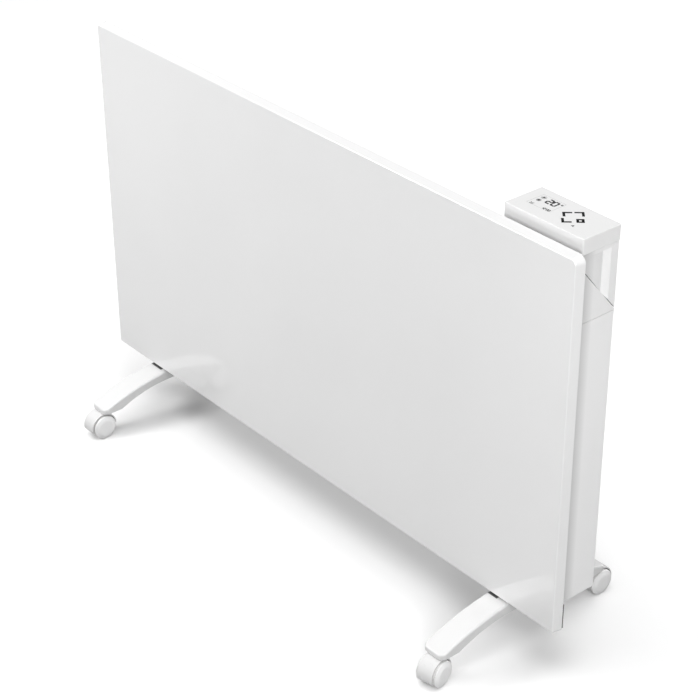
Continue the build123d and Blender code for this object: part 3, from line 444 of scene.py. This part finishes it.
for corner in CASTERS:
    wheel = wheel_plastic(corner)
    finishes[f"caster_hood_{corner}"] = hood_plastic
    finishes[f"caster_stem_{corner}"] = screw_zinc
    finishes[f"caster_axle_{corner}"] = screw_zinc
    finishes[f"wheel_left_{corner}"] = wheel
    finishes[f"wheel_right_{corner}"] = wheel

for name, node in frame["nodes"].items():
    node.data.materials.clear()
    node.data.materials.append(finishes[name])


# Printed marks, as thin raised ink


def around(centre, radius, angle):
    """The point at a radius and an angle from a centre."""
    return (centre[0] + radius * math.cos(angle), centre[1] + radius * math.sin(angle))


class Print:
    """Flat strokes on a plane, gathered into one thin mesh."""

    def __init__(self, name, origin, across, up, thickness):
        self.name = name
        self.origin = Vector(origin)
        self.across = Vector(across)
        self.up = Vector(up)
        self.out = self.across.cross(self.up)
        self.thickness = thickness
        self.points = []
        self.faces = []

    def polygon(self, corners):
        """One filled outline, counter-clockwise seen from outside, in mm."""
        start = len(self.points)
        count = len(corners)
        for depth in (-self.thickness, self.thickness):
            for x, y in corners:
                place = self.origin + (self.across * x + self.up * y) * MM
                self.points.append(place + self.out * depth)
        bottom = list(range(start, start + count))
        top = list(range(start + count, start + 2 * count))
        self.faces.append(top)
        self.faces.append(bottom[::-1])
        for n in range(count):
            m = (n + 1) % count
            self.faces.append([bottom[n], bottom[m], top[m], top[n]])

    def stroke(self, a, b, width):
        """A straight bar from a to b with square ends."""
        a, b = Vector(a), Vector(b)
        along = (b - a).normalized() * width / 2
        side = Vector((-along.y, along.x))
        a, b = a - along, b + along
        self.polygon([a - side, b - side, b + side, a + side])

    def line(self, points, width):
        """Strokes from each point to the next."""
        for a, b in zip(points, points[1:]):
            self.stroke(a, b, width)

    def ring(self, centre, radius, width, start=0.0, end=360.0, count=24):
        """An arc or a ring, as short blocks that meet."""
        outer, inner = radius + width / 2, radius - width / 2
        angles = [math.radians(start + (end - start) * n / count) for n in range(count + 1)]
        for a, b in zip(angles, angles[1:]):
            corners = [(inner, a), (outer, a), (outer, b), (inner, b)]
            self.polygon([around(centre, r, t) for r, t in corners])

    def disc(self, centre, radius, count=16):
        self.polygon([around(centre, radius, 2 * math.pi * n / count) for n in range(count)])

    def digit(self, number, x, y, width, height, weight):
        """One seven-segment figure with its lower left corner at x, y."""
        half = height / 2
        segments = {
            "a": ((x, y + height), (x + width, y + height)),
            "b": ((x + width, y + half), (x + width, y + height)),
            "c": ((x + width, y), (x + width, y + half)),
            "d": ((x, y), (x + width, y)),
            "e": ((x, y), (x, y + half)),
            "f": ((x, y + half), (x, y + height)),
            "g": ((x, y + half), (x + width, y + half)),
        }
        lit = {"0": "abcdef", "1": "bc", "2": "abged"}
        gap = weight * 0.6
        for key in lit[number]:
            a, b = (Vector(point) for point in segments[key])
            along = (b - a).normalized() * gap
            self.stroke(a + along, b - along, weight)

    def piece(self, material, body, slot):
        """The gathered strokes as a piece that rides on a body."""
        mesh = bpy.data.meshes.new(self.name)
        mesh.from_pydata([tuple(p) for p in self.points], [], self.faces)
        mesh.update()
        made = added(self.name, mesh)
        mesh.materials.append(material)
        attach(made, body)


INK = 0.05 * MM
cap_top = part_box("control_cap")[1].z
cap_plane = ((0.0, 0.0, cap_top), (1, 0, 0), (0, 1, 0), INK)

# Display window with its figures; places and sizes in mm, seen from above
WINDOW_X, WINDOW_Y = (305.6, 337.0), (5.0, 29.6)
WINDOW_LINE = 0.35
LARGE_FIGURES = (("2", 318.9), ("0", 326.2))
LARGE_Y = 17.6
LARGE_SIZE = {"width": 5.2, "height": 8.7, "weight": 1.9}
DEGREE, DEGREE_RADIUS, DEGREE_LINE = (335.2, 25.4), 0.95, 0.8
SMALL_FIGURES = "1200"
SMALL_X, SMALL_Y = 325.4, 5.9
SMALL_PITCH, SMALL_GAP = 2.6, 0.9
SMALL_SIZE = {"width": 1.6, "height": 3.0, "weight": 0.85}
DOTS, DOT_RADIUS = ((330.5, 6.6), (330.5, 8.2)), 0.25
STAR, STAR_RADIUS = (311.0, 24.3), 1.3
RAYS, RAY_START, RAY_END, RAY_LINE = 8, 1.9, 3.0, 0.6
TARGET, TARGET_RADIUS = (311.0, 16.7), 1.6
TARGET_RING, TARGET_LINE = 2.4, 0.4
ARCS = ((311.0, 9.4), (311.0, 7.4))
ARC_RADIUS, ARC_LINE, ARC_SPAN = 2.2, 0.8, (200, 340)

window = Print("display_window", *cap_plane)
left, right, front, rear = *WINDOW_X, *WINDOW_Y
corners = [(left, front), (right, front), (right, rear), (left, rear), (left, front)]
window.line(corners, WINDOW_LINE)
window.piece(ink_faint, BODY, "display_glass")

figures = Print("display_figures", *cap_plane)
for number, x in LARGE_FIGURES:
    figures.digit(number, x, LARGE_Y, **LARGE_SIZE)
figures.ring(DEGREE, DEGREE_RADIUS, DEGREE_LINE)
figures.disc(TARGET, TARGET_RADIUS)
figures.ring(TARGET, TARGET_RING, TARGET_LINE)
for n in range(RAYS):
    angle = 2 * math.pi * n / RAYS
    figures.stroke(around(STAR, RAY_START, angle), around(STAR, RAY_END, angle), RAY_LINE)
figures.disc(STAR, STAR_RADIUS)
figures.piece(ink_dark, BODY, "switch_black")

minor = Print("display_minor", *cap_plane)
for n, number in enumerate(SMALL_FIGURES):
    gap = SMALL_GAP if n > 1 else 0.0
    minor.digit(number, SMALL_X + SMALL_PITCH * n + gap, SMALL_Y, **SMALL_SIZE)
for dot in DOTS:
    minor.disc(dot, DOT_RADIUS)
for centre in ARCS:
    minor.ring(centre, ARC_RADIUS, ARC_LINE, *ARC_SPAN)
minor.piece(ink_grey, BODY, "switch_black")

# Touch keys: three corner brackets, a closed key and a small arrow, in mm
TURN = math.radians(48.0)
RUN = Vector((math.cos(TURN), math.sin(TURN)))
FALL = Vector((math.sin(TURN), -math.cos(TURN)))
BRACKETS = (
    ((347.1, 15.3), RUN, FALL),
    ((359.9, 29.7), -RUN, FALL),
    ((361.1, 0.1), RUN, -FALL),
)
BRACKET_LEG = 7.2
KEY_LINE = 2.7
CLOSED_KEY, CLOSED_HALF = Vector((370.9, 14.7)), 2.7
ARROW, ARROW_TIP = Vector((373.6, 1.1)), 1.7
ARROW_HALF, ARROW_BACK = 1.9, 1.1

keys = Print("touch_key_marks", *cap_plane)
for bend, first, second in BRACKETS:
    bend = Vector(bend)
    keys.line([bend + first * BRACKET_LEG, bend, bend + second * BRACKET_LEG], KEY_LINE)

square = [
    CLOSED_KEY + RUN * (CLOSED_HALF * a) + FALL * (CLOSED_HALF * b)
    for a, b in ((-1, -1), (1, -1), (1, 1), (-1, 1))
]
keys.line(square + square[:1], KEY_LINE)
arrow_base = [ARROW + RUN * ARROW_HALF * a - FALL * ARROW_BACK for a in (1, -1)]
keys.polygon([ARROW + FALL * ARROW_TIP, *arrow_base])
keys.piece(ink_dark, BODY, "switch_black")


# On and off marks on the rocker, which rests tipped to its off side. Each half of its
# face runs from the crease at the pivot's height to its far end, in mm from the pivot.
REST_TILT = -8.0
CREASE, FAR_END = Vector((0.0, 4.6, 0.0)), Vector((0.0, 5.9, 5.7))
ON_HALF, ON_LINE = 1.1, 0.55
OFF_RADIUS, OFF_LINE = 1.2, 0.5

pivot = Vector(joint("rocker_tip")["pos_m"])
tilt = Matrix.Rotation(math.radians(REST_TILT), 3, "X")
for mark, flip in (("on_mark", 1), ("off_mark", -1)):
    up = tilt @ Vector((0.0, (FAR_END.y - CREASE.y) * flip, FAR_END.z)).normalized()
    middle = (CREASE + FAR_END) / 2
    centre = pivot + tilt @ Vector((0.0, middle.y, middle.z * flip)) * MM
    sign = Print(mark, centre, (-1, 0, 0), up, INK)
    if flip > 0:
        sign.stroke((0.0, -ON_HALF), (0.0, ON_HALF), ON_LINE)
    else:
        sign.ring((0.0, 0.0), OFF_RADIUS, OFF_LINE)
    sign.piece(white_plastic, "rocker", "white_plastic")


# Cross recessed pan heads in the back wall, in mm
HEAD_RADIUS, HEAD_HEIGHT = 3.2, 1.8
SHANK_RADIUS, SHANK_DEPTH = 1.5, 5.0
RECESS_LENGTH, RECESS_WIDTH, RECESS_BLOCK = 3.4, 0.7, 1.6
# The dome, as shares of the head's height and radius
DOME = ((0.45, 1.0), (0.8, 0.9), (0.96, 0.68), (1.0, 0.4))
HEAD_SIDES = 32


def new_piece(name, bm):
    """The built mesh as an object."""
    mesh = bpy.data.meshes.new(name)
    bm.to_mesh(mesh)
    bm.free()
    return added(name, mesh)


def carved(piece, cutter):
    """The piece less the cutter, which is deleted."""
    cut = piece.modifiers.new("cut", "BOOLEAN")
    cut.operation = "DIFFERENCE"
    cut.object = cutter
    cut.solver = "EXACT"
    cut.use_self = True
    graph = bpy.context.evaluated_depsgraph_get()
    mesh = bpy.data.meshes.new_from_object(piece.evaluated_get(graph))
    piece.modifiers.clear()
    piece.data = mesh
    bpy.data.objects.remove(cutter)


def pan_head(bm, place):
    """A pan head that faces the rear, as rings about a line along Y."""
    profile = [(-SHANK_DEPTH, SHANK_RADIUS), (0.0, SHANK_RADIUS), (0.0, HEAD_RADIUS)]
    profile += [(HEAD_HEIGHT * rise, HEAD_RADIUS * reach) for rise, reach in DOME]
    rings = []
    for depth, radius in profile:
        ring = []
        for n in range(HEAD_SIDES):
            x, z = around((0.0, 0.0), radius, 2 * math.pi * n / HEAD_SIDES)
            ring.append(bm.verts.new(place + Vector((x, depth, z)) * MM))
        rings.append(ring)
    for first, second in zip(rings, rings[1:]):
        for n in range(HEAD_SIDES):
            m = (n + 1) % HEAD_SIDES
            bm.faces.new((first[n], second[n], second[m], first[m]))
    bm.faces.new(rings[0])
    bm.faces.new(rings[-1][::-1])


def cross_cut(bm, place):
    """Two crossed bars that cut a recess down from the head's top."""
    top = place + Vector((0.0, HEAD_HEIGHT, 0.0)) * MM
    for x, z in ((RECESS_LENGTH, RECESS_WIDTH), (RECESS_WIDTH, RECESS_LENGTH)):
        block = bmesh.ops.create_cube(bm, size=1.0)["verts"]
        bmesh.ops.scale(bm, vec=Vector((x, RECESS_BLOCK, z)) * MM, verts=block)
        bmesh.ops.translate(bm, vec=top, verts=block)


back_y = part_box("rear_casing")[1].y
low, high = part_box("bracket_screws")
inset = HEAD_RADIUS * MM
heads = bmesh.new()
cuts = bmesh.new()
for x in (low.x + inset, high.x - inset):
    for z in (low.z + inset, high.z - inset):
        pan_head(heads, Vector((x, back_y, z)))
        cross_cut(cuts, Vector((x, back_y, z)))
bmesh.ops.recalc_face_normals(heads, faces=heads.faces)
screws = new_piece("bracket_screw_heads", heads)
carved(screws, new_piece("bracket_screw_cuts", cuts))
screws.data.materials.clear()
screws.data.materials.append(screw_zinc)
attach(screws, BODY)
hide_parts("bracket_screws")


# Floor, light and camera

FLOOR_SIZE = 14.0
FLOOR_SEEN, FLOOR_GREY = 0.97, 0.45
# The glow that the camera sees on the floor: how strong it gets, and the distances from
# the heater's middle, in metres, between which it comes in. X counts for less.
NEAR_LIFT, NEAR_SPAN = 0.22, (0.07, 0.34)
FAR_LIFT, FAR_SPAN = 0.4, (0.8, 2.5)
LIFT_SCALE = (0.27, 1.0, 1.0)
AMBIENT = 0.153
LENS, SENSOR = 98.857, 36.0
CAMERA_PLACE = (1.5188, -1.2412, 1.3839)
CAMERA_YAW, CAMERA_PITCH, CAMERA_ROLL = -50.076, 30.561, 0.230
LEFT_HALF, RIGHT_END = (-0.5, 0.0, 0.5), (0.4, 0.0, 0.3)
BACK_MIDDLE = (0.0, 0.0, 0.3)


def floor():
    """White to the camera and a grey studio floor to every other ray, with its shadow kept."""
    mesh = bpy.data.meshes.new("floor")
    reach = FLOOR_SIZE / 2
    corners = [(-reach, -reach, 0), (reach, -reach, 0), (reach, reach, 0), (-reach, reach, 0)]
    mesh.from_pydata(corners, [], [(0, 1, 2, 3)])
    made = added("floor", mesh)
    n = Nodes("floor")
    n.set(Roughness=1.0, Specular_IOR_Level=0.0, Emission_Color=(1.0, 1.0, 1.0, 1.0))
    seen = n.add("ShaderNodeLightPath").outputs["Is Camera Ray"]
    n.colours(seen, grey(FLOOR_GREY), grey(FLOOR_SEEN))
    away = n.length(n.stretched(LIFT_SCALE))
    near = n.ramp(away, 0.0, NEAR_LIFT, *NEAR_SPAN)
    far = n.ramp(away, 0.0, FAR_LIFT, *FAR_SPAN)
    lift = n.math("ADD", near, far)
    n.link(n.math("MULTIPLY", lift, seen), n.shader.inputs["Emission Strength"])
    mesh.materials.append(n.material)


def world():
    """Even light, seen as plain white by the camera, in reflections and through glass."""
    made = bpy.data.worlds.new("studio")
    bpy.context.scene.world = made
    made.use_nodes = True
    tree = made.node_tree
    tree.nodes.clear()
    paths = tree.nodes.new("ShaderNodeLightPath")
    seen = paths.outputs["Is Camera Ray"]
    for other in ("Is Glossy Ray", "Is Transmission Ray"):
        either = tree.nodes.new("ShaderNodeMath")
        either.operation = "MAXIMUM"
        tree.links.new(seen, either.inputs[0])
        tree.links.new(paths.outputs[other], either.inputs[1])
        seen = either.outputs["Value"]
    mix = tree.nodes.new("ShaderNodeMixShader")
    tree.links.new(seen, mix.inputs[0])
    for place, strength in ((1, AMBIENT), (2, 1.0)):
        light = tree.nodes.new("ShaderNodeBackground")
        light.inputs["Color"].default_value = (1.0, 1.0, 1.0, 1.0)
        light.inputs["Strength"].default_value = strength
        tree.links.new(light.outputs["Background"], mix.inputs[place])
    out = tree.nodes.new("ShaderNodeOutputWorld")
    tree.links.new(mix.outputs["Shader"], out.inputs["Surface"])


def facing(direction):
    """The turn that makes a light shine from a direction."""
    return Vector(direction).to_track_quat("Z", "Y").to_euler()


def sun(name, direction, strength, softness):
    """A soft, even light that comes from a direction; softness is its width in degrees."""
    data = bpy.data.lights.new(name, "SUN")
    data.energy = strength * math.pi
    data.angle = math.radians(softness)
    added(name, data).rotation_euler = facing(direction)


def lamp(name, place, target, size, power):
    """A square soft box at a place, turned to a target."""
    data = bpy.data.lights.new(name, "AREA")
    data.shape = "SQUARE"
    data.size = size
    data.energy = power
    made = added(name, data)
    made.location = place
    made.visible_camera = False
    made.rotation_euler = facing(Vector(place) - Vector(target))


def camera():
    """The photograph's camera, looking down from the right."""
    data = bpy.data.cameras.new("camera")
    data.sensor_width = SENSOR
    data.lens = LENS
    data.clip_end = 50.0
    made = added("camera", data)
    yaw, pitch, roll = (math.radians(a) for a in (CAMERA_YAW, CAMERA_PITCH, CAMERA_ROLL))
    level_reach = math.cos(pitch)
    ahead = Vector((math.sin(yaw) * level_reach, math.cos(yaw) * level_reach, -math.sin(pitch)))
    level = Vector((math.cos(yaw), -math.sin(yaw), 0.0))
    down = ahead.cross(level)
    right = level * math.cos(roll) + down * math.sin(roll)
    down = down * math.cos(roll) - level * math.sin(roll)
    turn = Matrix((right, -down, -ahead)).transposed().to_4x4()
    made.matrix_world = Matrix.Translation(CAMERA_PLACE) @ turn
    bpy.context.scene.camera = made


floor()
world()
sun("top", (0.0, 0.0, 1.0), strength=0.395, softness=50.0)
sun("top_right", (0.35, -0.20, 1.0), strength=0.132, softness=40.0)
lamp("front_left", (-1.1, -0.9, 1.5), LEFT_HALF, size=0.6, power=8.5)
lamp("front", (-0.8, -1.2, 0.9), LEFT_HALF, size=0.6, power=8.0)
lamp("right", (1.3, -0.6, 0.8), RIGHT_END, size=0.6, power=8.9)
lamp("rear", (0.0, 1.9, 0.07), BACK_MIDDLE, size=0.14, power=10.0)
camera()
bpy.context.scene.view_settings.view_transform = "Standard"
